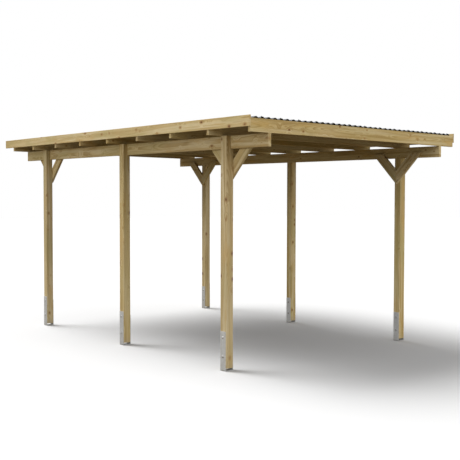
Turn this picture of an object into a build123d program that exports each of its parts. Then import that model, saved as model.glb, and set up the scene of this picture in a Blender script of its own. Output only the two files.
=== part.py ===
from build123d import *
import math
import os

# An open timber carport for one car: six posts in galvanised shoes carry two purlins, nine rafters
# lie across them, and corrugated sheets close the roof between two side fascias.
# Millimetres. X runs across, Y from the drive-in end to the rear, Z up from the ground.
# The origin is on the ground, in the middle of the roof's length and width.

# Posts, in two rows of three
post_side = 90.0
post_centres_across = 2743.0
front_bay = 1880.0
rear_bay = 1930.0
post_rounding = 4.0
post_foot_chamfer = 5.0
post_foot_gap = 24.0

# Roof level: height under the purlins at the front posts, and the rise towards the rear
headroom = 2221.0
rise_per_metre = 10.0

# Purlins, along the car, let into the inner side of the posts
purlin_thickness = 34.0
purlin_height = 128.0
purlin_front_overhang = 595.0
purlin_rear_overhang = 628.0

# Rafters, across the car, on top of the purlins
rafter_thickness = 34.0
rafter_height = 128.0
rafter_length = 3172.0
rafter_count = 9
rafter_front_bay = 618.0
rafter_rear_bay = 584.0
last_rafter_setback = 25.0

# Side fascias, on the ends of the rafters
fascia_thickness = 19.0
fascia_height = 105.0
fascia_above_rafters = 26.0
fascia_front_overhang = 4.0
fascia_rear_overhang = 185.0

# Braces, two boards at each corner post that meet in a V on its inner face
brace_thickness = 34.0
brace_width = 110.0
brace_angle = 46.0
brace_lap_on_purlin = 59.0
brace_foot_below_purlin = 310.0
brace_seam = 1.0

board_rounding = 2.5

# Post shoes, flat steel bent to a U round the foot of each post, the inner leg the shorter one
strap_thickness = 6.0
strap_width = 78.0
strap_height = 400.0
strap_inner_height = 350.0
strap_inner_bend = 4.0
strap_corner_cut = 3.0

# Corrugated roof sheets, laid from the left fascia and lapped sideways
sheet_thickness = 1.2
sheet_depth = 18.0
wave_pitch = 81.4
sheet_count = 4
waves_lapped = 1
sheet_side_gap = 29.0
sheet_front_setback = 6.0
sheet_rear_setback = 10.0
seat_clearance = 0.3

# Plan
half_across = post_centres_across / 2
purlin_length = purlin_front_overhang + front_bay + rear_bay + purlin_rear_overhang
roof_length = fascia_front_overhang + purlin_length + fascia_rear_overhang
front_y = -roof_length / 2
rear_y = roof_length / 2
purlin_front_y = front_y + fascia_front_overhang
purlin_rear_y = purlin_front_y + purlin_length
front_post_y = purlin_front_y + purlin_front_overhang
middle_post_y = front_post_y + front_bay
rear_post_y = middle_post_y + rear_bay
post_rows = {"front": front_post_y, "middle": middle_post_y, "rear": rear_post_y}
sides = {"left": -1, "right": 1}
inner_face = half_across - post_side / 2
slope = rise_per_metre / 1000


def underside(y):
    # Height of the purlins' underside at y
    return headroom + slope * (y - front_post_y)


def raked_outline(y_start, y_end, lift, height):
    # A board seen from the side: plumb ends, long edges along the roof's rise
    return [
        (y_start, underside(y_start) + lift),
        (y_end, underside(y_end) + lift),
        (y_end, underside(y_end) + lift + height),
        (y_start, underside(y_start) + lift + height),
    ]


def write(piece, name):
    piece.label = name
    export_step(piece, f"parts/{name}.step")


def board(name, outline, x_low, x_high):
    # A plank with the given side outline, from x_low to x_high, with its long edges rounded
    with BuildPart() as plank:
        with BuildSketch(Plane.YZ.offset(x_low)):
            with BuildLine():
                Polyline(*outline, close=True)
            make_face()
        extrude(amount=x_high - x_low)
        fillet(plank.edges().sort_by(SortBy.LENGTH)[-4:], radius=board_rounding)
    write(plank.part, name)


def across(side, depth_from, depth_to):
    # The X span of a piece that lies between two distances from the middle, on one side
    return sorted((side * depth_from, side * depth_to))


def post(name, side, y):
    # A square post, held clear of the shoe's bottom by its bolts, its head cut along the purlins'
    # top and notched on the inside for the purlin
    foot_z = strap_thickness + post_foot_gap
    outline = [
        (y - post_side / 2, foot_z),
        (y + post_side / 2, foot_z),
        (y + post_side / 2, underside(y + post_side / 2) + purlin_height),
        (y - post_side / 2, underside(y - post_side / 2) + purlin_height),
    ]
    notch = raked_outline(y - post_side, y + post_side, 0, 2 * purlin_height)
    x_low, x_high = across(side, inner_face, inner_face + post_side)
    notch_low, notch_high = across(side, inner_face - purlin_thickness, inner_face + purlin_thickness)
    with BuildPart() as timber:
        with BuildSketch(Plane.YZ.offset(x_low)):
            with BuildLine():
                Polyline(*outline, close=True)
            make_face()
        extrude(amount=x_high - x_low)
        foot = timber.faces().sort_by(Axis.Z)[0]
        chamfer(foot.edges().filter_by(Axis.Y), length=post_foot_chamfer)
        fillet(timber.edges().filter_by(Axis.Z), radius=post_rounding)
        with BuildSketch(Plane.YZ.offset(notch_low)):
            with BuildLine():
                Polyline(*notch, close=True)
            make_face()
        extrude(amount=notch_high - notch_low, mode=Mode.SUBTRACT)
    write(timber.part, name)


def shoe(name, side, y):
    # The U strap, its bottom on the ground and its legs on the left and right faces of the post
    outer_side = post_side + 2 * strap_thickness
    inner_leg_low, inner_leg_high = across(side, inner_face - 2 * strap_thickness, half_across)
    with BuildPart() as strap:
        with BuildSketch(Plane.XZ.offset(-(y + strap_width / 2))):
            with Locations((side * half_across, strap_height / 2)):
                Rectangle(outer_side, strap_height)
            with Locations((side * half_across, strap_height / 2 + strap_thickness)):
                Rectangle(post_side, strap_height, mode=Mode.SUBTRACT)
            with Locations(((inner_leg_low + inner_leg_high) / 2, strap_height)):
                Rectangle(
                    inner_leg_high - inner_leg_low,
                    2 * (strap_height - strap_inner_height),
                    mode=Mode.SUBTRACT,
                )
        extrude(amount=strap_width)
        bends = strap.edges().filter_by(Axis.Y)
        fillet(bends.group_by(Axis.Z)[0], radius=strap_inner_bend + strap_thickness)
        inner_bends = strap.edges().filter_by(Axis.Y).filter_by(
            lambda edge: abs(edge.center().Z - strap_thickness) < strap_thickness / 4
        )
        fillet(inner_bends, radius=strap_inner_bend)
        leg_corners = strap.edges().filter_by(Axis.X).filter_by(
            lambda edge: edge.center().Z > strap_inner_height - strap_thickness
        )
        chamfer(leg_corners, length=strap_corner_cut)
    write(strap.part, name)


def brace(name, side, y, forward):
    # One arm of the V: a plumb cut on the post's middle line, a level cut on the purlin
    run = -1 if forward else 1
    angle = math.radians(brace_angle)
    foot_y = y + run * brace_seam / 2
    foot_z = underside(y) - brace_foot_below_purlin
    head_z = underside(y) + brace_lap_on_purlin
    plumb_cut = brace_width / math.cos(angle)
    outline = [
        (foot_y, foot_z),
        (foot_y + run * (head_z - foot_z) / math.tan(angle), head_z),
        (foot_y + run * (head_z - foot_z - plumb_cut) / math.tan(angle), head_z),
        (foot_y, foot_z + plumb_cut),
    ]
    board(name, outline, *across(side, inner_face - brace_thickness, inner_face))


def wave_line(first_apex, last_apex, offset):
    # A run of tangent arcs through valleys (even apexes) and crests (odd ones), one sheet face of it
    mid_depth = sheet_depth - sheet_thickness
    half_pitch = wave_pitch / 2
    steep = 2 * math.atan(mid_depth / half_pitch)

    def apex(index):
        height = -mid_depth / 2 if index % 2 == 0 else mid_depth / 2
        return (index * half_pitch, height + offset)

    def inflection(index):
        # Between the apex of this index and the next one
        lean = -1 if index % 2 == 0 else 1
        x = (index + 0.5) * half_pitch + lean * offset * math.sin(steep)
        return (x, offset * math.cos(steep))

    def heading(index):
        lean = -1 if index % 2 == 0 else 1
        return (math.cos(steep), -lean * math.sin(steep))

    TangentArc(apex(first_apex), inflection(first_apex), tangent=(1, 0))
    for index in range(first_apex + 1, last_apex):
        ThreePointArc(inflection(index - 1), apex(index), inflection(index))
    TangentArc(inflection(last_apex - 1), apex(last_apex), tangent=heading(last_apex - 1))
    return apex(first_apex), apex(last_apex)


def roof_sheet(name, first_apex, last_apex, edge_x, lift):
    # One corrugated sheet, from the drive-in end to the rear end of the fascias
    y_start = front_y + sheet_front_setback
    length = roof_length - sheet_front_setback - sheet_rear_setback
    rafter_top = underside(y_start) + purlin_height + rafter_height
    mid_z = rafter_top + seat_clearance + sheet_depth / 2 + lift
    end_plane = Plane(origin=(edge_x, y_start, mid_z), x_dir=(1, 0, 0), z_dir=(0, -1, 0))
    with BuildPart() as sheet:
        with BuildSketch(end_plane):
            with BuildLine():
                top_start, top_end = wave_line(first_apex, last_apex, sheet_thickness / 2)
                under_start, under_end = wave_line(first_apex, last_apex, -sheet_thickness / 2)
                Line(top_start, under_start)
                Line(top_end, under_end)
            make_face()
        extrude(amount=length, dir=(0, 1, slope))
    write(sheet.part, name)


os.makedirs("parts", exist_ok=True)

# Posts and their shoes
for row, y in post_rows.items():
    for side_name, side in sides.items():
        post(f"post_{row}_{side_name}", side, y)
        shoe(f"shoe_{row}_{side_name}", side, y)

# Purlins
purlin_outline = raked_outline(purlin_front_y, purlin_rear_y, 0, purlin_height)
for side_name, side in sides.items():
    board(f"purlin_{side_name}", purlin_outline, *across(side, inner_face, inner_face + purlin_thickness))

# Braces at the corner posts
for row in ("front", "rear"):
    for side_name, side in sides.items():
        for arm_name, forward in (("forward", True), ("backward", False)):
            brace(f"brace_{row}_{side_name}_{arm_name}", side, post_rows[row], forward)

# Rafters: the first flush with the purlins' front end, the last set in from their rear end, the
# others evenly between the two end bays
last_rafter_y = purlin_rear_y - last_rafter_setback - rafter_thickness
inner_start_y = purlin_front_y + rafter_front_bay
inner_pitch = (last_rafter_y - rafter_rear_bay - inner_start_y) / (rafter_count - 3)
rafter_starts = [purlin_front_y]
rafter_starts += [inner_start_y + index * inner_pitch for index in range(rafter_count - 2)]
rafter_starts += [last_rafter_y]
for number, y_start in enumerate(rafter_starts, start=1):
    rafter_outline = raked_outline(y_start, y_start + rafter_thickness, purlin_height, rafter_height)
    board(f"rafter_{number}", rafter_outline, -rafter_length / 2, rafter_length / 2)

# Side fascias
fascia_lift = purlin_height + rafter_height + fascia_above_rafters - fascia_height
fascia_outline = raked_outline(front_y, rear_y, fascia_lift, fascia_height)
for side_name, side in sides.items():
    fascia_span = across(side, rafter_length / 2, rafter_length / 2 + fascia_thickness)
    board(f"fascia_{side_name}", fascia_outline, *fascia_span)

# Roof sheets, from valley to valley: they share the waves evenly, and every second one lies on
# the edges of its neighbours
waves = math.floor((rafter_length - 2 * sheet_side_gap) / wave_pitch)
waves_covered = (waves - waves_lapped) / sheet_count
roof_edge_x = -rafter_length / 2 + sheet_side_gap
flank_angle = 2 * math.atan(2 * (sheet_depth - sheet_thickness) / wave_pitch)
lap_lift = sheet_thickness / math.cos(flank_angle) + seat_clearance
for index in range(sheet_count):
    first_wave = round(index * waves_covered)
    last_wave = round((index + 1) * waves_covered) + waves_lapped
    lift = lap_lift * (index % 2)
    roof_sheet(f"roof_sheet_{index + 1}", 2 * first_wave, 2 * last_wave, roof_edge_x, lift)
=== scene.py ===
"""Looks of an open timber carport: finishes, roof sheets, fasteners, camera and studio.

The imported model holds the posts, purlins, rafters, fascias, braces and post shoes. This
script dresses them in treated pine and galvanised steel, makes the corrugated sheets
with their smooth waves, adds the screws, and lights it all on a pale floor.
All lengths are in metres, in the frame's own coordinates.
"""
import logging
import math
import random
from dataclasses import dataclass
from enum import Enum
from typing import Optional, Sequence, Union

import bmesh
import bpy
from mathutils import Euler, Matrix, Vector


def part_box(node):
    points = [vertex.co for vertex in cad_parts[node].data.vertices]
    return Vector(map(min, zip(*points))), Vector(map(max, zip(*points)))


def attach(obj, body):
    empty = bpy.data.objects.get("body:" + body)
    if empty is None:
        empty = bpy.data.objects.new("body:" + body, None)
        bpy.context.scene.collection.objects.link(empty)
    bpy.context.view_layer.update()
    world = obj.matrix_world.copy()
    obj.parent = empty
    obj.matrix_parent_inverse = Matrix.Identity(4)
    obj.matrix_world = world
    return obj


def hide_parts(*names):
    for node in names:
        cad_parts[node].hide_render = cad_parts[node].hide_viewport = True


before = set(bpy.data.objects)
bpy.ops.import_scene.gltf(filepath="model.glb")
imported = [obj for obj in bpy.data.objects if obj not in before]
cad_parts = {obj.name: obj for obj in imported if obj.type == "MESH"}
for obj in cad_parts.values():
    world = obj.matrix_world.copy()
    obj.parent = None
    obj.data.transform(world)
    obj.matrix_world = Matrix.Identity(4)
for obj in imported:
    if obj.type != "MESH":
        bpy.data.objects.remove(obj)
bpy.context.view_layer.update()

LOG = logging.getLogger("carport")
MM = 0.001
RISE_PER_METRE = 0.010
SHARP_EDGE = math.radians(32)
ACROSS = Vector((1.0, 0.0, 0.0))
LENGTHWISE = Vector((0.0, 1.0, 0.0))
UPRIGHT = Vector((0.0, 0.0, 1.0))

Socket = bpy.types.NodeSocket
Value = Union[float, Sequence[float], Socket]
Span = tuple[float, float]
Triple = tuple[float, float, float]
Colour = tuple[float, float, float, float]

WHOLE: Span = (0.0, 1.0)
NOISE_MIDDLE = 0.5


class Row(Enum):
    """The three rows of posts, from the drive-in end to the rear."""

    FRONT = "front"
    MIDDLE = "middle"
    REAR = "rear"


class Side(Enum):
    """The two sides of the carport, seen from the drive-in end."""

    LEFT = "left"
    RIGHT = "right"

    @property
    def sign(self) -> int:
        """Return -1 on the left and 1 on the right."""
        return -1 if self is Side.LEFT else 1

    def outer(self, low: Vector, high: Vector) -> float:
        """Return the X of the face of a box that looks outwards."""
        return low.x if self is Side.LEFT else high.x

    def inner(self, low: Vector, high: Vector) -> float:
        """Return the X of the face of a box that looks inwards."""
        return high.x if self is Side.LEFT else low.x


class Slot(Enum):
    """Names of two material slots, for the steel and for the roof sheets."""

    STEEL = "galvanised_steel"
    SHEET = "roof_sheet"


@dataclass(frozen=True)
class Pattern:
    """A noise, by its cells in a metre along each axis and its depth of detail."""

    scale: Triple
    detail: float = 2.0


@dataclass(frozen=True)
class Veil:
    """A thin layer of colour that comes in where a pattern passes from start to full."""

    start: float
    full: float
    strength: float
    colour: Colour


class Graph:
    """Writes shader nodes into one node tree."""

    def __init__(self, tree: bpy.types.NodeTree) -> None:
        """Keep the tree that the nodes go into.

        Args:
            tree: The node tree of a material, a world or a node group.
        """
        self.tree = tree

    def feed(self, node: bpy.types.Node, inputs: dict) -> None:
        """Give a node's inputs their values or what feeds them.

        Args:
            node: The node.
            inputs: Socket name or number to the value that it takes or the socket that feeds it.
        """
        for key, value in inputs.items():
            if isinstance(value, Socket):
                self.tree.links.new(value, node.inputs[key])
            else:
                node.inputs[key].default_value = value

    def node(self, kind: str, inputs: Optional[dict] = None, **settings: object) -> bpy.types.Node:
        """Add one node.

        Args:
            kind: The name of the node's type.
            inputs: Socket name or number to the value that it takes or the socket that feeds it.
            **settings: The node's own properties.

        Returns:
            The new node.
        """
        made = self.tree.nodes.new(kind)
        for name, value in settings.items():
            setattr(made, name, value)
        self.feed(made, inputs or {})
        return made

    def group(self, tree: bpy.types.NodeTree, inputs: dict) -> bpy.types.Node:
        """Place a node group and feed its inputs."""
        return self.node("ShaderNodeGroup", inputs, node_tree=tree)

    def math(self, operation: str, first: Value, second: Value = 0.0, clamp: bool = False) -> Socket:
        """Return the result of a Math node on two values."""
        made = self.node("ShaderNodeMath", {0: first, 1: second}, operation=operation, use_clamp=clamp)
        return made.outputs[0]

    def times(self, first: Value, second: Value) -> Socket:
        """Return the product of two values."""
        return self.math("MULTIPLY", first, second)

    def plus(self, first: Value, second: Value) -> Socket:
        """Return the sum of two values."""
        return self.math("ADD", first, second)

    def minus(self, first: Value, second: Value) -> Socket:
        """Return the first value less the second."""
        return self.math("SUBTRACT", first, second)

    def ramp(self, value: Value, span: Span, reach: Span = WHOLE) -> Socket:
        """Map a value smoothly, and hold the result beyond the ends of its span.

        Args:
            value: The value.
            span: The two values between which the result changes.
            reach: The result at those two values.

        Returns:
            The result.
        """
        limits = {"From Min": span[0], "From Max": span[1], "To Min": reach[0], "To Max": reach[1]}
        made = self.node("ShaderNodeMapRange", {"Value": value, **limits}, interpolation_type="SMOOTHSTEP")
        return made.outputs["Result"]

    def blend(self, share: Value, first: Value, second: Value) -> Socket:
        """Return the colour that lies between two colours, at the given share."""
        return self.node("ShaderNodeMix", {0: share, 6: first, 7: second}, data_type="RGBA").outputs[2]

    def lay(self, veil: Veil, pattern: Value, colour: Value) -> Socket:
        """Return the colour with a veil laid over it by a pattern."""
        share = self.ramp(pattern, (veil.start, veil.full), (0.0, veil.strength))
        return self.blend(share, colour, veil.colour)

    def stretched(self, position: Value, scale: Triple) -> Socket:
        """Return the position scaled along its three axes."""
        return self.node("ShaderNodeVectorMath", {0: position, 1: scale}, operation="MULTIPLY").outputs[0]

    def noise(self, position: Value, pattern: Pattern) -> bpy.types.Node:
        """Add a noise texture."""
        place = self.stretched(position, pattern.scale)
        return self.node("ShaderNodeTexNoise", {"Vector": place, "Scale": 1.0, "Detail": pattern.detail})

    def grey(self, position: Value, pattern: Pattern) -> Socket:
        """Return the grey value of a noise texture."""
        return self.noise(position, pattern).outputs[0]

    def bump(self, height: Value, strength: float, distance: float) -> Socket:
        """Return the normal of a surface that carries a fine relief."""
        sockets = {"Height": height, "Strength": strength, "Distance": distance}
        return self.node("ShaderNodeBump", sockets).outputs[0]


def new_group(name: str, inputs: dict, outputs: dict) -> tuple[Graph, bpy.types.Node, bpy.types.Node]:
    """Start a shader node group.

    Args:
        name: The group's name.
        inputs: Input name to socket type or to a default number.
        outputs: Output name to socket type.

    Returns:
        The group's graph, its input node and its output node.
    """
    tree = bpy.data.node_groups.new(name, "ShaderNodeTree")
    for key, kind in inputs.items():
        if isinstance(kind, str):
            tree.interface.new_socket(key, in_out="INPUT", socket_type=kind)
        else:
            socket = tree.interface.new_socket(key, in_out="INPUT", socket_type="NodeSocketFloat")
            socket.default_value = kind
    for key, kind in outputs.items():
        tree.interface.new_socket(key, in_out="OUTPUT", socket_type=kind)
    return Graph(tree), tree.nodes.new("NodeGroupInput"), tree.nodes.new("NodeGroupOutput")


@dataclass(frozen=True)
class PineFigure:
    """The figure of planed softwood, solid through the board: rings, fibres, streaks and knots.

    The group works in grain coordinates, with X along the grain and the pith on the X axis.
    """

    early_wood: Colour = (0.640, 0.500, 0.250, 1.0)
    late_wood: Colour = (0.385, 0.255, 0.090, 1.0)
    pale_wood: Colour = (0.725, 0.610, 0.370, 1.0)
    amber_wood: Colour = (0.590, 0.385, 0.130, 1.0)
    olive_tint: Colour = (0.450, 0.395, 0.165, 1.0)
    knot_halo: Colour = (0.370, 0.200, 0.065, 1.0)
    knot_core: Colour = (0.150, 0.068, 0.025, 1.0)

    ring_width: float = 6.5 * MM
    ring_rise: Span = (0.35, 0.88)
    ring_fall: Span = (1.0, 0.90)
    ring_relief: float = -0.25
    pith_wander: float = 42 * MM
    wander: Pattern = Pattern((0.85, 0.4, 0.4), 1.5)
    ripple_depth: float = 5 * MM
    ripple: Pattern = Pattern((4.0, 38.0, 38.0))
    band: Pattern = Pattern((0.7, 40.0, 1.0))
    pale_band: Veil = Veil(0.50, 0.66, 0.80, pale_wood)
    dark_band: Veil = Veil(0.50, 0.32, 0.75, late_wood)

    streak: Pattern = Pattern((0.9, 24.0, 24.0), 3.0)
    pale_streak: Veil = Veil(0.48, 0.72, 0.75, pale_wood)
    dark_streak: Veil = Veil(0.46, 0.26, 0.60, late_wood)
    flame: Pattern = Pattern((2.6, 16.0, 16.0), 3.0)
    amber_flame: Veil = Veil(0.54, 0.72, 0.60, amber_wood)
    blotch: Pattern = Pattern((1.7, 7.0, 7.0))
    olive_blotch: Span = (0.42, 0.68)
    fibre: Pattern = Pattern((14.0, 620.0, 620.0))
    dark_fibre: Veil = Veil(0.35, 0.75, 0.22, late_wood)
    fibre_span: Span = (0.2, 0.8)
    fibre_relief: float = 0.30
    roughness: Span = (0.62, 0.78)

    knot_cell: float = 84 * MM
    knot_length: float = 1.5
    knot_radius: Span = (4.5 * MM, 13.5 * MM)
    knot_wobble_depth: float = 6 * MM
    knot_wobble: Pattern = Pattern((60.0, 60.0, 60.0), 1.0)
    knot_core_span: Span = (1.15, 0.75)
    knot_halo_span: Span = (2.3, 0.9)
    knot_halo_reach: Span = (0.0, 0.8)
    knot_near_span: Span = (6.0, 0.6)
    knot_border: Span = (0.0, 0.22)
    knot_swell: float = 14 * MM
    knot_polish: float = 0.18
    knot_relief: float = 0.35

    # Drying cracks: a sunken relief, and painted shade that darkens the inside of each crack.
    check: Pattern = Pattern((2.2, 170.0, 170.0), 1.0)
    check_width: Span = (0.012, 0.002)
    check_place: Pattern = Pattern((2.6, 9.0, 9.0), 1.0)
    check_place_span: Span = (0.62, 0.70)
    check_painted_shade: float = 0.6
    check_relief: float = 1.6

    def build(self) -> bpy.types.NodeTree:
        """Build the group once.

        Returns:
            The node group, with the outputs Colour, Roughness and Height.
        """
        graph, entry, result = new_group(
            "pine_figure",
            {"Position": "NodeSocketVector", "Knots": 1.0, "Contrast": 1.0, "Olive": 0.5},
            {"Colour": "NodeSocketColor", "Roughness": "NodeSocketFloat", "Height": "NodeSocketFloat"},
        )
        position = entry.outputs["Position"]
        near, core, halo = self._knots(graph, position, entry.outputs["Knots"])
        late, band = self._rings(graph, position, near)
        streak = graph.grey(position, self.streak)
        flame = graph.grey(position, self.flame)
        blotch = graph.grey(position, self.blotch)
        fibre = graph.grey(position, self.fibre)
        check = self._checks(graph, position)

        late_share = graph.math("MULTIPLY", late, entry.outputs["Contrast"], clamp=True)
        wood = graph.blend(late_share, self.early_wood, self.late_wood)
        wood = graph.lay(self.pale_band, band, wood)
        wood = graph.lay(self.dark_band, band, wood)
        wood = graph.lay(self.pale_streak, streak, wood)
        wood = graph.lay(self.dark_streak, streak, wood)
        wood = graph.lay(self.amber_flame, flame, wood)
        olive = graph.times(graph.ramp(blotch, self.olive_blotch), entry.outputs["Olive"])
        wood = graph.blend(olive, wood, self.olive_tint)
        wood = graph.lay(self.dark_fibre, fibre, wood)
        wood = graph.blend(halo, wood, self.knot_halo)
        wood = graph.blend(core, wood, self.knot_core)
        # Painted shade: the cracks are darkened towards the knot core's colour, as the shade inside them.
        wood = graph.blend(graph.times(check, self.check_painted_shade), wood, self.knot_core)

        rough = graph.ramp(fibre, self.fibre_span, self.roughness)
        rough = graph.minus(rough, graph.times(core, self.knot_polish))
        height = graph.plus(graph.times(late, self.ring_relief), graph.times(fibre, self.fibre_relief))
        height = graph.minus(height, graph.times(check, self.check_relief))
        height = graph.plus(height, graph.times(core, self.knot_relief))
        graph.feed(result, {"Colour": wood, "Roughness": rough, "Height": height})
        return graph.tree

    def _knots(self, graph: Graph, position: Socket, amount: Socket) -> tuple[Socket, Socket, Socket]:
        """Scatter the knots, one at most in each cell of the wood.

        Args:
            graph: The group's graph.
            position: The grain coordinates.
            amount: The share of the cells that hold a knot.

        Returns:
            How near a knot is, the knot's dark core and its amber halo, as masks.
        """
        drawn_out = graph.stretched(position, (1.0 / self.knot_length, 1.0, 1.0))
        cells = {"Vector": drawn_out, "Scale": 1.0 / self.knot_cell}
        spots = graph.node("ShaderNodeTexVoronoi", cells, feature="F1")
        border = graph.node("ShaderNodeTexVoronoi", cells, feature="DISTANCE_TO_EDGE").outputs["Distance"]
        wobble = graph.times(graph.grey(position, self.knot_wobble), self.knot_wobble_depth)
        distance = graph.plus(graph.times(spots.outputs["Distance"], self.knot_cell), wobble)
        pick = graph.node("ShaderNodeSeparateColor", {0: spots.outputs["Color"]})
        radius = graph.ramp(pick.outputs["Green"], WHOLE, self.knot_radius)
        there = graph.math("GREATER_THAN", amount, pick.outputs["Red"])
        inside = graph.math("DIVIDE", distance, radius)
        core = graph.times(graph.ramp(inside, self.knot_core_span), there)
        halo = graph.times(graph.ramp(inside, self.knot_halo_span, self.knot_halo_reach), there)
        near = graph.times(graph.ramp(inside, self.knot_near_span), there)
        return graph.times(near, graph.ramp(border, self.knot_border)), core, halo

    def _rings(self, graph: Graph, position: Socket, near_knot: Socket) -> tuple[Socket, Socket]:
        """Draw the rings round a wandering pith, pushed outwards by the knots.

        Args:
            graph: The group's graph.
            position: The grain coordinates.
            near_knot: How near a knot is.

        Returns:
            The dark late wood of the rings, as a mask, and the pattern of the broad bands they form.
        """
        wander = graph.noise(position, self.wander).outputs["Color"]
        middle = (NOISE_MIDDLE, NOISE_MIDDLE, NOISE_MIDDLE)
        shift = graph.node("ShaderNodeVectorMath", {0: wander, 1: middle}, operation="SUBTRACT")
        reach = 2 * self.pith_wander
        moved = graph.node(
            "ShaderNodeVectorMath",
            {0: shift.outputs[0], 1: (0.0, reach, reach), 2: position},
            operation="MULTIPLY_ADD",
        )
        across = graph.stretched(moved.outputs[0], (0.0, 1.0, 1.0))
        radius = graph.node("ShaderNodeVectorMath", {0: across}, operation="LENGTH").outputs["Value"]
        radius = graph.plus(radius, graph.times(graph.grey(position, self.ripple), self.ripple_depth))
        radius = graph.plus(radius, graph.times(near_knot, self.knot_swell))
        turn = graph.math("FRACT", graph.math("DIVIDE", radius, self.ring_width))
        late = graph.times(graph.ramp(turn, self.ring_rise), graph.ramp(turn, self.ring_fall))
        run = graph.node("ShaderNodeSeparateXYZ", {0: position}).outputs["X"]
        flow = graph.node("ShaderNodeCombineXYZ", {"X": run, "Y": radius}).outputs[0]
        return late, graph.grey(flow, self.band)

    def _checks(self, graph: Graph, position: Socket) -> Socket:
        """Open the few fine drying cracks that run along the grain, whose mask gives their sunken relief and
        the painted shade inside them.

        Args:
            graph: The group's graph.
            position: The grain coordinates.

        Returns:
            The cracks, as a mask.
        """
        off_middle = graph.minus(graph.grey(position, self.check), NOISE_MIDDLE)
        thin = graph.ramp(graph.math("ABSOLUTE", off_middle), self.check_width)
        there = graph.ramp(graph.grey(position, self.check_place), self.check_place_span)
        return graph.times(thin, there)


@dataclass(frozen=True)
class EdgeWearAndHighlight:
    """A mask of the edges, found by comparing the rounded normal with the plain one. The pine lays worn
    edges and a painted highlight on it; the steel and the sheets lay worn edges.
    """

    samples: int = 4
    likeness: Span = (0.995, 0.80)
    patch: Pattern = Pattern((22.0, 22.0, 22.0), 3.0)
    patch_span: Span = (0.35, 0.65)

    def build(self) -> bpy.types.NodeTree:
        """Build the group once.

        Returns:
            The node group, with the output Edge.
        """
        graph, entry, result = new_group(
            "edge_wear_and_highlight",
            {"Position": "NodeSocketVector", "Width": 3 * MM, "Patchiness": 0.5},
            {"Edge": "NodeSocketFloat"},
        )
        rounded = graph.node("ShaderNodeBevel", {"Radius": entry.outputs["Width"]}, samples=self.samples)
        plain = graph.node("ShaderNodeNewGeometry").outputs["Normal"]
        same = graph.node("ShaderNodeVectorMath", {0: rounded.outputs[0], 1: plain}, operation="DOT_PRODUCT")
        edge = graph.ramp(same.outputs["Value"], self.likeness)
        patches = graph.ramp(graph.grey(entry.outputs["Position"], self.patch), self.patch_span)
        lost = graph.times(graph.minus(1.0, patches), entry.outputs["Patchiness"])
        graph.feed(result, {"Edge": graph.times(edge, graph.minus(1.0, lost))})
        return graph.tree


@dataclass(frozen=True)
class GroundDust:
    """A mask of dust: a soft veil of patches, stronger near the ground."""

    patch: Pattern = Pattern((9.0, 9.0, 9.0), 5.0)
    veil_span: Span = (0.4, 0.75)
    splash_span: Span = (0.25, 0.65)
    splash_reach: Span = (0.0, 0.7)

    def build(self) -> bpy.types.NodeTree:
        """Build the group once.

        Returns:
            The node group, with the output Dust.
        """
        graph, entry, result = new_group(
            "ground_dust",
            {"Position": "NodeSocketVector", "Veil": 0.2, "Splash height": 0.12},
            {"Dust": "NodeSocketFloat"},
        )
        patches = graph.grey(entry.outputs["Position"], self.patch)
        height = graph.node("ShaderNodeSeparateXYZ", {0: entry.outputs["Position"]}).outputs["Z"]
        part_way = graph.math("DIVIDE", height, entry.outputs["Splash height"])
        low = graph.math("SUBTRACT", 1.0, part_way, clamp=True)
        veil = graph.times(graph.ramp(patches, self.veil_span), entry.outputs["Veil"])
        splash = graph.times(low, graph.ramp(patches, self.splash_span, self.splash_reach))
        graph.feed(result, {"Dust": graph.math("MAXIMUM", veil, splash)})
        return graph.tree


@dataclass(frozen=True)
class Groups:
    """The node groups that the finishes share."""

    pine: bpy.types.NodeTree
    wear_and_highlight: bpy.types.NodeTree
    dust: bpy.types.NodeTree

    @classmethod
    def build(cls) -> "Groups":
        """Build each group once and return them together."""
        return cls(PineFigure().build(), EdgeWearAndHighlight().build(), GroundDust().build())

    def edge_mask(self, graph: Graph, position: Socket, width: float, patchiness: float) -> Socket:
        """Return the mask of a material's edges: worn edges, and on the pine also a painted highlight."""
        sockets = {"Position": position, "Width": width, "Patchiness": patchiness}
        return graph.group(self.wear_and_highlight, sockets).outputs["Edge"]

    def dust_mask(self, graph: Graph, position: Socket, veil: float, height: float) -> Socket:
        """Return the mask of dust: a veil all over, and a splash up to a height above the ground."""
        sockets = {"Position": position, "Veil": veil, "Splash height": height}
        return graph.group(self.dust, sockets).outputs["Dust"]


def new_material(name: str) -> tuple[bpy.types.Material, Graph, bpy.types.Node, Socket]:
    """Start a node material.

    Args:
        name: The material's name.

    Returns:
        The material, its graph, its Principled shader and its Object coordinates.
    """
    material = bpy.data.materials.new(name)
    material.use_nodes = True
    graph = Graph(material.node_tree)
    position = graph.node("ShaderNodeTexCoord").outputs["Object"]
    return material, graph, material.node_tree.nodes["Principled BSDF"], position


@dataclass(frozen=True)
class Cut:
    """How a board was sawn: its grain, the normal of its broad faces and where the pith lies."""

    grain: Vector
    flat: Vector
    pith_off_face: Span = (22 * MM, 75 * MM)
    pith_off_middle: Span = (-30 * MM, 30 * MM)


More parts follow.
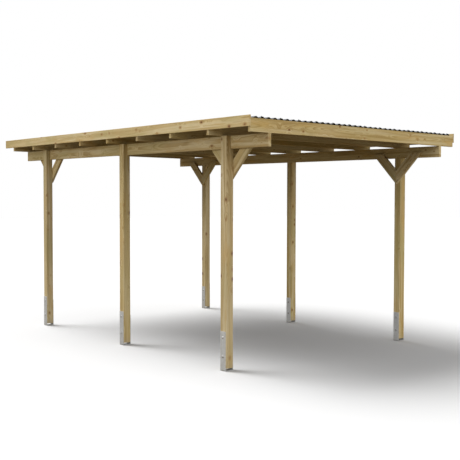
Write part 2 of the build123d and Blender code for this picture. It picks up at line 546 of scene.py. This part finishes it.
@dataclass(frozen=True)
class PineFinish:
    """Planed, pressure-treated pine on one board, with the grain along the board."""

    groups: Groups
    log_run: Span = (-40.0, 40.0)
    knots: float = 0.75
    contrast: float = 0.80
    contrast_spread: Span = (0.8, 1.2)
    olive: float = 0.35
    olive_spread: Span = (0.4, 1.5)
    tone_spread: Span = (0.94, 1.04)
    saturation_spread: Span = (0.94, 1.06)
    # Lighter edges: partly worn edges, partly a painted highlight where the rounded edges catch the light.
    edge_width: float = 3 * MM
    edge_patchiness: float = 0.7
    edge_strength: float = 0.35
    edge_wear_and_highlight_colour: Colour = (0.66, 0.55, 0.34, 1.0)
    dust_veil: float = 0.06
    dust_height: float = 0.12
    dust_colour: Colour = (0.42, 0.36, 0.26, 1.0)
    bump_strength: float = 0.5
    bump_height: float = 0.45 * MM
    gloss: float = 0.28

    def material(self, name: str, cut: Cut, centre: Vector, draw: random.Random) -> bpy.types.Material:
        """Make the board's own material.

        Args:
            name: The node's name.
            cut: How the board lies in the log.
            centre: The middle of the board.
            draw: The seeded source of this carport's chance values.

        Returns:
            The material.
        """
        material, graph, shader, place = new_material(f"pine_{name}")
        position = self._grain(graph, place, cut, centre, draw)
        contrast = self.contrast * draw.uniform(*self.contrast_spread)
        olive = self.olive * draw.uniform(*self.olive_spread)
        tone = draw.uniform(*self.tone_spread)
        saturation = draw.uniform(*self.saturation_spread)
        figure = graph.group(
            self.groups.pine,
            {"Position": position, "Knots": self.knots, "Contrast": contrast, "Olive": olive},
        ).outputs
        edge = self.groups.edge_mask(graph, position, self.edge_width, self.edge_patchiness)
        dust = self.groups.dust_mask(graph, place, self.dust_veil, self.dust_height)
        toned = graph.node(
            "ShaderNodeHueSaturation", {"Color": figure["Colour"], "Value": tone, "Saturation": saturation},
        ).outputs[0]
        # Painted highlight and worn edges: the edges are blended towards a lighter colour.
        colour = graph.blend(graph.times(edge, self.edge_strength), toned, self.edge_wear_and_highlight_colour)
        graph.feed(shader, {
            "Base Color": graph.blend(dust, colour, self.dust_colour),
            "Roughness": figure["Roughness"],
            "Normal": graph.bump(figure["Height"], self.bump_strength, self.bump_height),
            "Specular IOR Level": self.gloss,
        })
        return material

    def _grain(self, graph: Graph, place: Socket, cut: Cut, centre: Vector, draw: random.Random) -> Socket:
        """Lay the board at a chance place in its log.

        Args:
            graph: The material's graph.
            place: The Object coordinates.
            cut: How the board lies in the log.
            centre: The middle of the board.
            draw: The seeded source of this carport's chance values.

        Returns:
            The grain coordinates.
        """
        turn = cut.grain.rotation_difference(ACROSS).to_matrix()
        log_place = Vector((draw.uniform(*self.log_run), 0.0, 0.0))
        log_place += turn @ cut.flat * draw.choice((-1.0, 1.0)) * draw.uniform(*cut.pith_off_face)
        log_place += turn @ cut.grain.cross(cut.flat) * draw.uniform(*cut.pith_off_middle)
        sockets = {"Vector": place, "Location": log_place - turn @ centre, "Rotation": turn.to_euler()}
        return graph.node("ShaderNodeMapping", sockets, vector_type="POINT").outputs[0]


@dataclass(frozen=True)
class ZincFinish:
    """Hot-dip galvanised steel, with its spangle and a little grime."""

    groups: Groups
    bright: Colour = (0.72, 0.73, 0.73, 1.0)
    dull: Colour = (0.54, 0.55, 0.55, 1.0)
    rubbed: Colour = (0.74, 0.75, 0.76, 1.0)
    grime: Colour = (0.33, 0.30, 0.25, 1.0)
    metallic: float = 0.35
    roughness: Span = (0.34, 0.50)
    spangle_scale: float = 95.0
    spangle_share: Span = (0.30, 0.85)
    spangle_relief: float = 0.15
    cloud: Pattern = Pattern((11.0, 11.0, 11.0), 4.0)
    cloud_span: Span = (0.4, 0.75)
    cloud_strength: float = 0.5
    cloud_rough_span: Span = (0.3, 0.8)
    cloud_roughening: Span = (0.0, 0.14)
    edge_width: float = 1.6 * MM
    edge_patchiness: float = 0.4
    edge_strength: float = 0.5
    dust_veil: float = 0.18
    dust_height: float = 0.10
    dust_strength: float = 0.55
    dust_dulling: float = 0.4
    bump_strength: float = 0.25
    bump_height: float = 0.3 * MM

    def material(self, name: str) -> bpy.types.Material:
        """Make the finish for one kind of steel piece.

        Args:
            name: The material's name.

        Returns:
            The material.
        """
        material, graph, shader, place = new_material(name)
        cells = {"Vector": place, "Scale": self.spangle_scale}
        spangle = graph.node("ShaderNodeTexVoronoi", cells, feature="F1").outputs["Color"]
        flake = graph.node("ShaderNodeSeparateColor", {0: spangle}).outputs["Red"]
        cloud = graph.grey(place, self.cloud)
        edge = self.groups.edge_mask(graph, place, self.edge_width, self.edge_patchiness)
        dust = self.groups.dust_mask(graph, place, self.dust_veil, self.dust_height)
        colour = graph.blend(graph.ramp(flake, WHOLE, self.spangle_share), self.dull, self.bright)
        colour = graph.lay(Veil(*self.cloud_span, self.cloud_strength, self.dull), cloud, colour)
        colour = graph.blend(graph.times(edge, self.edge_strength), colour, self.rubbed)
        roughened = graph.ramp(cloud, self.cloud_rough_span, self.cloud_roughening)
        height = graph.plus(graph.times(flake, self.spangle_relief), cloud)
        graph.feed(shader, {
            "Base Color": graph.blend(graph.times(dust, self.dust_strength), colour, self.grime),
            "Roughness": graph.plus(graph.ramp(flake, WHOLE, self.roughness), roughened),
            "Metallic": graph.minus(self.metallic, graph.times(dust, self.dust_dulling)),
            "Normal": graph.bump(height, self.bump_strength, self.bump_height),
        })
        return material


@dataclass(frozen=True)
class SheetFinish:
    """Charcoal corrugated sheet, satin, with rain streaks and a thin veil of dust."""

    groups: Groups
    body: Colour = (0.030, 0.032, 0.035, 1.0)
    faded: Colour = (0.058, 0.061, 0.066, 1.0)
    rubbed: Colour = (0.12, 0.12, 0.12, 1.0)
    grime: Colour = (0.13, 0.125, 0.11, 1.0)
    roughness: Span = (0.30, 0.42)
    fade: Pattern = Pattern((3.0, 1.2, 3.0), 4.0)
    fade_span: Span = (0.35, 0.7)
    fade_rough_span: Span = (0.3, 0.7)
    streak: Pattern = Pattern((26.0, 0.7, 26.0), 3.0)
    rain_streak: Veil = Veil(0.5, 0.8, 0.35, (0.085, 0.084, 0.080, 1.0))
    streak_rough_span: Span = (0.4, 0.8)
    streak_roughening: Span = (0.0, 0.2)
    grit: Pattern = Pattern((850.0, 850.0, 850.0))
    edge_width: float = 1.2 * MM
    edge_patchiness: float = 0.6
    edge_strength: float = 0.5
    dust_veil: float = 0.14
    dust_height: float = 0.01
    bump_strength: float = 0.2
    bump_height: float = 0.12 * MM

    def material(self, name: str) -> bpy.types.Material:
        """Make the finish of the sheets and of their screws.

        Args:
            name: The material's name.

        Returns:
            The material.
        """
        material, graph, shader, place = new_material(name)
        fade = graph.grey(place, self.fade)
        streak = graph.grey(place, self.streak)
        edge = self.groups.edge_mask(graph, place, self.edge_width, self.edge_patchiness)
        dust = self.groups.dust_mask(graph, place, self.dust_veil, self.dust_height)
        colour = graph.blend(graph.ramp(fade, self.fade_span), self.body, self.faded)
        colour = graph.lay(self.rain_streak, streak, colour)
        colour = graph.blend(dust, colour, self.grime)
        roughened = graph.ramp(streak, self.streak_rough_span, self.streak_roughening)
        graph.feed(shader, {
            "Base Color": graph.blend(graph.times(edge, self.edge_strength), colour, self.rubbed),
            "Roughness": graph.plus(graph.ramp(fade, self.fade_rough_span, self.roughness), roughened),
            "Normal": graph.bump(graph.grey(place, self.grit), self.bump_strength, self.bump_height),
        })
        return material


def dress_node(name: str, material: bpy.types.Material) -> None:
    """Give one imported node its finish.

    Args:
        name: The node's name.
        material: The finish.
    """
    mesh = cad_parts[name].data
    mesh.materials.clear()
    mesh.materials.append(material)
    LOG.info("dressed: %s", name)


def finish_piece(
    bm: bmesh.types.BMesh, name: str, material: bpy.types.Material,
) -> bpy.types.Object:
    """Turn a bmesh, already in its place, into a piece that rides on the carport.

    Args:
        bm: The mesh in the frame's coordinates; it is freed.
        name: The piece's name.
        material: The finish.

    Returns:
        The new object.
    """
    mesh = bpy.data.meshes.new(name)
    bm.to_mesh(mesh)
    bm.free()
    mesh.materials.append(material)
    mesh.shade_smooth()
    mesh.set_sharp_from_angle(angle=SHARP_EDGE)
    piece = bpy.data.objects.new(name, mesh)
    bpy.context.scene.collection.objects.link(piece)
    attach(piece, "root")
    LOG.info("built: %s", name)
    return piece


@dataclass
class TimberFrame:
    """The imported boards, each dressed in pine with the grain along it."""

    finish: PineFinish
    seed: int = 20
    brace_slope: float = math.radians(46)
    post_pith: tuple[Span, Span] = ((30 * MM, 80 * MM), (-70 * MM, 70 * MM))

    def dress(self) -> None:
        """Give each timber node its own cut of pine."""
        draw = random.Random(self.seed)
        for name in sorted(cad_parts):
            cut = self._cut(name)
            if cut:
                low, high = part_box(name)
                dress_node(name, self.finish.material(name, cut, (low + high) / 2, draw))

    def _cut(self, name: str) -> Optional[Cut]:
        """Find how a node was sawn.

        Args:
            name: The node's name.

        Returns:
            Its cut, or None where it isn't timber.
        """
        run = -math.cos(self.brace_slope) if name.endswith("forward") else math.cos(self.brace_slope)
        cuts = {
            "rafter": Cut(ACROSS, LENGTHWISE),
            "purlin": Cut(LENGTHWISE, ACROSS),
            "fascia": Cut(LENGTHWISE, ACROSS),
            "post": Cut(UPRIGHT, ACROSS, *self.post_pith),
            "brace": Cut(Vector((0.0, run, math.sin(self.brace_slope))), ACROSS),
        }
        return cuts.get(name.split("_")[0])


@dataclass
class PostShoes:
    """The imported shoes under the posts, all in one galvanised finish."""

    finish: bpy.types.Material

    def dress(self) -> None:
        """Give each shoe the finish."""
        for row in Row:
            for side in Side:
                dress_node(f"shoe_{row.value}_{side.value}", self.finish)


def stamp(bm: bmesh.types.BMesh, shape: bpy.types.Mesh, place: Vector, direction: Vector) -> None:
    """Add a copy of a shape.

    Args:
        bm: The mesh that takes the copy.
        shape: The shape, standing on the origin with its top towards +Z.
        place: Where its foot goes.
        direction: Where its top points.
    """
    first = len(bm.verts)
    bm.from_mesh(shape)
    bm.verts.ensure_lookup_table()
    turn = UPRIGHT.rotation_difference(direction).to_matrix().to_4x4()
    bmesh.ops.transform(bm, matrix=Matrix.Translation(place) @ turn, verts=bm.verts[first:])


def prism(bm: bmesh.types.BMesh, sides: int, radius: float, low: float, high: float) -> list:
    """Add an upright prism.

    Args:
        bm: The mesh that takes it.
        sides: The number of its sides.
        radius: The distance of its corners from the axis.
        low: The height of its foot.
        high: The height of its top.

    Returns:
        The vertices of its top.
    """
    made = bmesh.ops.create_cone(
        bm, cap_ends=True, segments=sides, radius1=radius, radius2=radius, depth=high - low,
        matrix=Matrix.Translation((0.0, 0.0, (low + high) / 2)),
    )["verts"]
    return [vert for vert in made if vert.co.z > (low + high) / 2]


def top_face(bm: bmesh.types.BMesh, top: list) -> list:
    """Return the face that a prism's top vertices bound, as a list of one."""
    return [face for face in bm.faces if all(vert in top for vert in face.verts)]


def keep_shape(bm: bmesh.types.BMesh, name: str) -> bpy.types.Mesh:
    """Store a bmesh as a shape to stamp.

    Args:
        bm: The mesh, standing on the origin; it is freed.
        name: The shape's name.

    Returns:
        The shape.
    """
    shape = bpy.data.meshes.new(name)
    bm.to_mesh(shape)
    bm.free()
    return shape


@dataclass(frozen=True)
class CoachScrew:
    """The polished domed head of a coach screw."""

    radius: float = 12 * MM
    height: float = 7.5 * MM
    segments: int = 28
    rings: int = 22

    def shape(self) -> bpy.types.Mesh:
        """Build the dome as the cap of a ball, standing on the origin.

        Returns:
            The shape to stamp.
        """
        ball = (self.radius ** 2 + self.height ** 2) / (2 * self.height)
        bm = bmesh.new()
        bmesh.ops.create_uvsphere(
            bm, u_segments=self.segments, v_segments=self.rings, radius=ball,
            matrix=Matrix.Translation((0.0, 0.0, self.height - ball)),
        )
        cut = bmesh.ops.bisect_plane(
            bm, geom=bm.verts[:] + bm.edges[:] + bm.faces[:], plane_co=(0.0, 0.0, 0.0),
            plane_no=(0.0, 0.0, 1.0), clear_inner=True,
        )
        rim = [item for item in cut["geom_cut"] if isinstance(item, bmesh.types.BMEdge)]
        bmesh.ops.contextual_create(bm, geom=rim)
        bmesh.ops.recalc_face_normals(bm, faces=bm.faces[:])
        return keep_shape(bm, "coach_screw")


@dataclass(frozen=True)
class WoodScrew:
    """The head of a countersunk screw, a hair proud of the wood, with its recessed drive."""

    sides: int = 18
    radius: float = 5 * MM
    sunk: float = 0.3 * MM
    proud: float = 0.7 * MM
    rim: float = 0.5 * MM
    crown: float = 0.25 * MM
    drive_radius: float = 2.4 * MM
    drive_depth: float = 0.6 * MM
    drive_slope: float = 0.2 * MM

    def shape(self) -> bpy.types.Mesh:
        """Build the head, standing on the origin.

        Returns:
            The shape to stamp.
        """
        bm = bmesh.new()
        face = top_face(bm, prism(bm, self.sides, self.radius, -self.sunk, self.proud))
        bmesh.ops.inset_region(bm, faces=face, thickness=self.rim, depth=self.crown)
        bmesh.ops.inset_region(bm, faces=face, thickness=self.radius - self.drive_radius - self.rim)
        bmesh.ops.inset_region(bm, faces=face, thickness=self.drive_slope, depth=-self.drive_depth)
        return keep_shape(bm, "wood_screw")


@dataclass(frozen=True)
class RoofScrew:
    """A low hexagon head on a sealing washer, in the colour of the sheets."""

    washer_sides: int = 12
    washer_radius: float = 9 * MM
    washer_thickness: float = 1.8 * MM
    washer_bevel: float = 0.6 * MM
    head_sides: int = 6
    head_radius: float = 5.2 * MM
    head_height: float = 3.6 * MM
    crown_width: float = 1.2 * MM
    crown_height: float = 0.4 * MM

    def shape(self) -> bpy.types.Mesh:
        """Build the washer and the head, standing on the origin.

        Returns:
            The shape to stamp.
        """
        bm = bmesh.new()
        rim = prism(bm, self.washer_sides, self.washer_radius, 0.0, self.washer_thickness)
        edges = [edge for edge in bm.edges if edge.verts[0] in rim and edge.verts[1] in rim]
        bmesh.ops.bevel(
            bm, geom=edges, offset=self.washer_bevel, segments=1, profile=0.5, affect="EDGES", material=-1,
        )
        head_top = self.washer_thickness + self.head_height
        head = prism(bm, self.head_sides, self.head_radius, self.washer_thickness, head_top)
        face = top_face(bm, head)
        bmesh.ops.inset_region(bm, faces=face, thickness=self.crown_width, depth=self.crown_height)
        return keep_shape(bm, "roof_screw")


@dataclass
class Fixings:
    """The screws that hold posts, shoes, purlins and braces together.

    A shoe's screws are given by their heights, and a purlin's by their heights above its underside.
    A brace's are given by their distance from the post's middle and their height above its foot.
    """

    steel: bpy.types.Material
    outer_leg_heights: Span = (146 * MM, 338 * MM)
    inner_leg_heights: Span = (131 * MM, 287 * MM)
    purlin_rows: Span = (30 * MM, 98 * MM)
    purlin_step: float = 23 * MM
    brace_foot: tuple[Span, Span] = ((26 * MM, 50 * MM), (26 * MM, 108 * MM))
    brace_head: tuple[Span, Span] = ((226 * MM, 342 * MM), (290 * MM, 342 * MM))

    def build(self) -> None:
        """Add every screw, with two pieces for each post."""
        coach, wood = CoachScrew().shape(), WoodScrew().shape()
        for row in Row:
            for side in Side:
                place = f"{row.value}_{side.value}"
                self._shoe_screws(place, side, coach)
                self._timber_screws(place, row, side, wood)

    def _shoe_screws(self, place: str, side: Side, shape: bpy.types.Mesh) -> None:
        """Put the coach screws through both legs of one shoe.

        Args:
            place: The post's row and side, as in its name.
            side: The post's side.
            shape: The screw's head.
        """
        low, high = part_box(f"shoe_{place}")
        middle = (low.y + high.y) / 2
        legs = (
            (side.outer(low, high), side.sign, self.outer_leg_heights),
            (side.inner(low, high), -side.sign, self.inner_leg_heights),
        )
        bm = bmesh.new()
        for x, out, heights in legs:
            for height in heights:
                stamp(bm, shape, Vector((x, middle, height)), Vector((out, 0.0, 0.0)))
        finish_piece(bm, f"shoe_screws_{place}", self.steel)

    def _timber_screws(self, place: str, row: Row, side: Side, shape: bpy.types.Mesh) -> None:
        """Put the countersunk screws into the purlin and the braces at one post.

        Args:
            place: The post's row and side, as in its name.
            row: The post's row; the middle one has no braces.
            side: The post's side.
            shape: The screw's head.
        """
        low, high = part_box(f"post_{place}")
        middle = (low.y + high.y) / 2
        inwards = Vector((-side.sign, 0.0, 0.0))
        purlin_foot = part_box(f"purlin_{side.value}")[0]
        underside = purlin_foot.z + RISE_PER_METRE * (middle - purlin_foot.y)
        bm = bmesh.new()
        for height in self.purlin_rows:
            for step in (-self.purlin_step, self.purlin_step):
                spot = Vector((side.inner(low, high), middle + step, underside + height))
                stamp(bm, shape, spot, inwards)
        if row is not Row.MIDDLE:
            for arm, run in (("forward", -1), ("backward", 1)):
                brace_low, brace_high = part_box(f"brace_{place}_{arm}")
                face = side.inner(brace_low, brace_high)
                for step, height in self.brace_foot + self.brace_head:
                    spot = Vector((face, middle + run * step, brace_low.z + height))
                    stamp(bm, shape, spot, inwards)
        finish_piece(bm, f"timber_screws_{place}", self.steel)


@dataclass
class RoofCover:
    """The corrugated sheets with smooth waves, and the screws on their crests."""

    finish: bpy.types.Material
    pitch: float = 81.4 * MM
    depth: float = 18 * MM
    thickness: float = 1.2 * MM
    steps_per_wave: int = 24
    sheets: int = 4
    rafters: int = 9
    screw_every: int = 3
    washer_bite: float = 0.6 * MM

    def build(self) -> None:
        """Lay the sheets and drive their screws."""
        boxes = [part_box(f"roof_sheet_{number}") for number in range(1, self.sheets + 1)]
        for number, (low, high) in enumerate(boxes, start=1):
            self._sheet(f"roof_sheet_{number}", low, high)
        self._screws(boxes)

    def _wave(self, reach: float) -> float:
        """Follow the tangent arcs of valleys and crests.

        Args:
            reach: The distance from the sheet's edge, which lies in a valley.

        Returns:
            The height of the sheet's middle line above its mean.
        """
        half_depth = (self.depth - self.thickness) / 2
        quarter = self.pitch / 4
        radius = (quarter ** 2 + half_depth ** 2) / (2 * half_depth)
        from_apex = (reach + quarter) % (self.pitch / 2) - quarter
        bulge = math.sqrt(radius ** 2 - from_apex ** 2) - radius + half_depth
        in_valley = int((reach + quarter) // (self.pitch / 2)) % 2 == 0
        return -bulge if in_valley else bulge

    def _sheet(self, node: str, low: Vector, high: Vector) -> None:
        """Make one sheet in the place of its node.

        Args:
            node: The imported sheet.
            low: The lower corner of its box.
            high: The upper corner of its box.
        """
        waves = round((high.x - low.x) / self.pitch)
        bm = bmesh.new()
        bmesh.ops.create_grid(bm, x_segments=waves * self.steps_per_wave, y_segments=1, size=0.5)
        for vert in bm.verts:
            reach = (vert.co.x + 0.5) * waves * self.pitch
            y = low.y + (vert.co.y + 0.5) * (high.y - low.y)
            middle = low.z + self.depth / 2 + RISE_PER_METRE * (y - low.y)
            vert.co = (low.x + reach, y, middle + self._wave(reach))
        bm.normal_update()
        for vert, normal in [(vert, vert.normal.copy()) for vert in bm.verts]:
            vert.co += normal * self.thickness / 2
        bmesh.ops.solidify(bm, geom=bm.faces[:], thickness=self.thickness)
        bmesh.ops.recalc_face_normals(bm, faces=bm.faces[:])
        piece = finish_piece(bm, f"{node}_waves", self.finish)
        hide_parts(node)

    def _screws(self, boxes: list) -> None:
        """Drive the screws on the crests, in a row over each rafter.

        Args:
            boxes: The lower and upper corners of the sheets' boxes, from the left.
        """
        shape = RoofScrew().shape()
        bm = bmesh.new()
        left = boxes[0][0].x
        waves = round((boxes[-1][1].x - left) / self.pitch)
        for number in range(1, self.rafters + 1):
            rafter_low, rafter_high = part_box(f"rafter_{number}")
            y = (rafter_low.y + rafter_high.y) / 2
            for crest in range(1, waves, self.screw_every):
                x = left + (crest + 0.5) * self.pitch
                tops = [high.z - RISE_PER_METRE * (high.y - y) for low, high in boxes if low.x < x < high.x]
                stamp(bm, shape, Vector((x, y, max(tops) - self.washer_bite)), UPRIGHT)
        finish_piece(bm, "roof_screws", self.finish)


@dataclass(frozen=True)
class SoftLight:
    """A broad, far light, given by where it stands as seen from the carport, in degrees.

    Alone and at strength 1, it shows a white face that looks straight at it as full white.
    """

    name: str
    strength: float
    azimuth: float
    elevation: float
    spread: float
    spares_floor: bool = False

    def hang(self, floor: bpy.types.Object) -> None:
        """Hang the light so that it shines on the carport.

        Args:
            floor: The floor, which a fill light leaves as it is.
        """
        azimuth, elevation = math.radians(self.azimuth), math.radians(self.elevation)
        level = math.cos(elevation)
        towards = Vector((level * math.cos(azimuth), level * math.sin(azimuth), math.sin(elevation)))
        lamp = bpy.data.lights.new(self.name, "SUN")
        lamp.energy = self.strength * math.pi
        lamp.angle = math.radians(self.spread)
        light = bpy.data.objects.new(self.name, lamp)
        light.rotation_mode = "QUATERNION"
        light.rotation_quaternion = towards.to_track_quat("Z", "Y")
        bpy.context.scene.collection.objects.link(light)
        if self.spares_floor:
            spared = bpy.data.collections.new(f"{self.name}_spares")
            spared.objects.link(floor)
            spared.collection_objects[0].light_linking.link_state = "EXCLUDE"
            light.light_linking.receiver_collection = spared


@dataclass
class StudioStage:
    """The pale floor, the white surroundings and the soft lights."""

    floor_size: float = 120.0
    floor_tone: Colour = (0.96, 0.96, 0.96, 1.0)
    floor_bounce: Colour = (0.225, 0.185, 0.125, 1.0)
    floor_roughness: float = 0.9
    floor_gloss: float = 0.0
    sky_tone: Colour = (1.0, 1.0, 1.0, 1.0)
    sky_strength: float = 0.43
    lights: tuple = (
        SoftLight("high_rear", 0.50, azimuth=102, elevation=55, spread=36),
        SoftLight("high_left", 0.35, azimuth=122, elevation=56, spread=36),
        SoftLight("left_fill", 0.28, azimuth=186, elevation=11, spread=30, spares_floor=True),
        SoftLight("front_fill", 0.40, azimuth=274, elevation=25, spread=50, spares_floor=True),
    )

    def build(self) -> None:
        """Lay the floor, close the room and hang the lights."""
        floor = self._floor()
        self._sky()
        for light in self.lights:
            light.hang(floor)
        bpy.context.scene.view_settings.view_transform = "Standard"
        LOG.info("studio: floor, sky and %d lights", len(self.lights))

    def _floor(self) -> bpy.types.Object:
        """Lay a wide floor that looks pale but throws little light back up.

        Returns:
            The floor.
        """
        bm = bmesh.new()
        bmesh.ops.create_grid(bm, x_segments=1, y_segments=1, size=self.floor_size / 2)
        mesh = bpy.data.meshes.new("floor")
        bm.to_mesh(mesh)
        bm.free()
        material, graph, shader, _ = new_material("floor_paint")
        seen = graph.node("ShaderNodeLightPath").outputs["Is Camera Ray"]
        graph.feed(shader, {
            "Base Color": graph.blend(seen, self.floor_bounce, self.floor_tone),
            "Roughness": self.floor_roughness,
            "Specular IOR Level": self.floor_gloss,
        })
        mesh.materials.append(material)
        floor = bpy.data.objects.new("floor", mesh)
        bpy.context.scene.collection.objects.link(floor)
        return floor

    def _sky(self) -> None:
        """Fill the room with even light, and show it as plain white."""
        world = bpy.data.worlds.new("studio")
        world.use_nodes = True
        graph = Graph(world.node_tree)
        seen = graph.node("ShaderNodeLightPath").outputs["Is Camera Ray"]
        strength = graph.plus(graph.times(seen, 1.0 - self.sky_strength), self.sky_strength)
        background = world.node_tree.nodes["Background"]
        graph.feed(background, {"Color": self.sky_tone, "Strength": strength})
        bpy.context.scene.world = world


@dataclass
class PhotoCamera:
    """The photograph's own viewpoint, solved from the edges of posts and beams."""

    picture_width: float = 460.0
    focal_pixels: float = 795.36
    sensor: float = 36.0
    far_clip: float = 200.0
    place: Triple = (-6.4545, -8.1096, 1.7001)
    turn_right: float = math.radians(40.0368)
    tilt: float = math.radians(-2.0713)
    roll: float = math.radians(-0.0926)

    def build(self) -> None:
        """Set the camera up as the scene's own."""
        lens = bpy.data.cameras.new("photo_camera")
        lens.sensor_width = self.sensor
        lens.lens = self.focal_pixels * self.sensor / self.picture_width
        lens.clip_end = self.far_clip
        camera = bpy.data.objects.new("photo_camera", lens)
        camera.location = self.place
        camera.rotation_euler = Euler((math.pi / 2 + self.tilt, self.roll, -self.turn_right), "XYZ")
        bpy.context.scene.collection.objects.link(camera)
        bpy.context.scene.camera = camera
        LOG.info("camera: %.1f mm lens", lens.lens)


def main() -> None:
    """Build the scene from the frame outwards."""
    logging.basicConfig(level=logging.INFO, format="%(name)s: %(message)s")
    groups = Groups.build()
    screw_zinc = ZincFinish(
        groups, bright=(0.56, 0.56, 0.55, 1.0), dull=(0.47, 0.47, 0.46, 1.0), metallic=1.0,
        roughness=(0.19, 0.28),
    )
    PhotoCamera().build()
    StudioStage().build()
    TimberFrame(PineFinish(groups)).dress()
    PostShoes(ZincFinish(groups).material("zinc_strap")).dress()
    Fixings(screw_zinc.material("zinc_screw")).build()
    RoofCover(SheetFinish(groups).material("charcoal_sheet")).build()


if __name__ == "__main__":
    main()
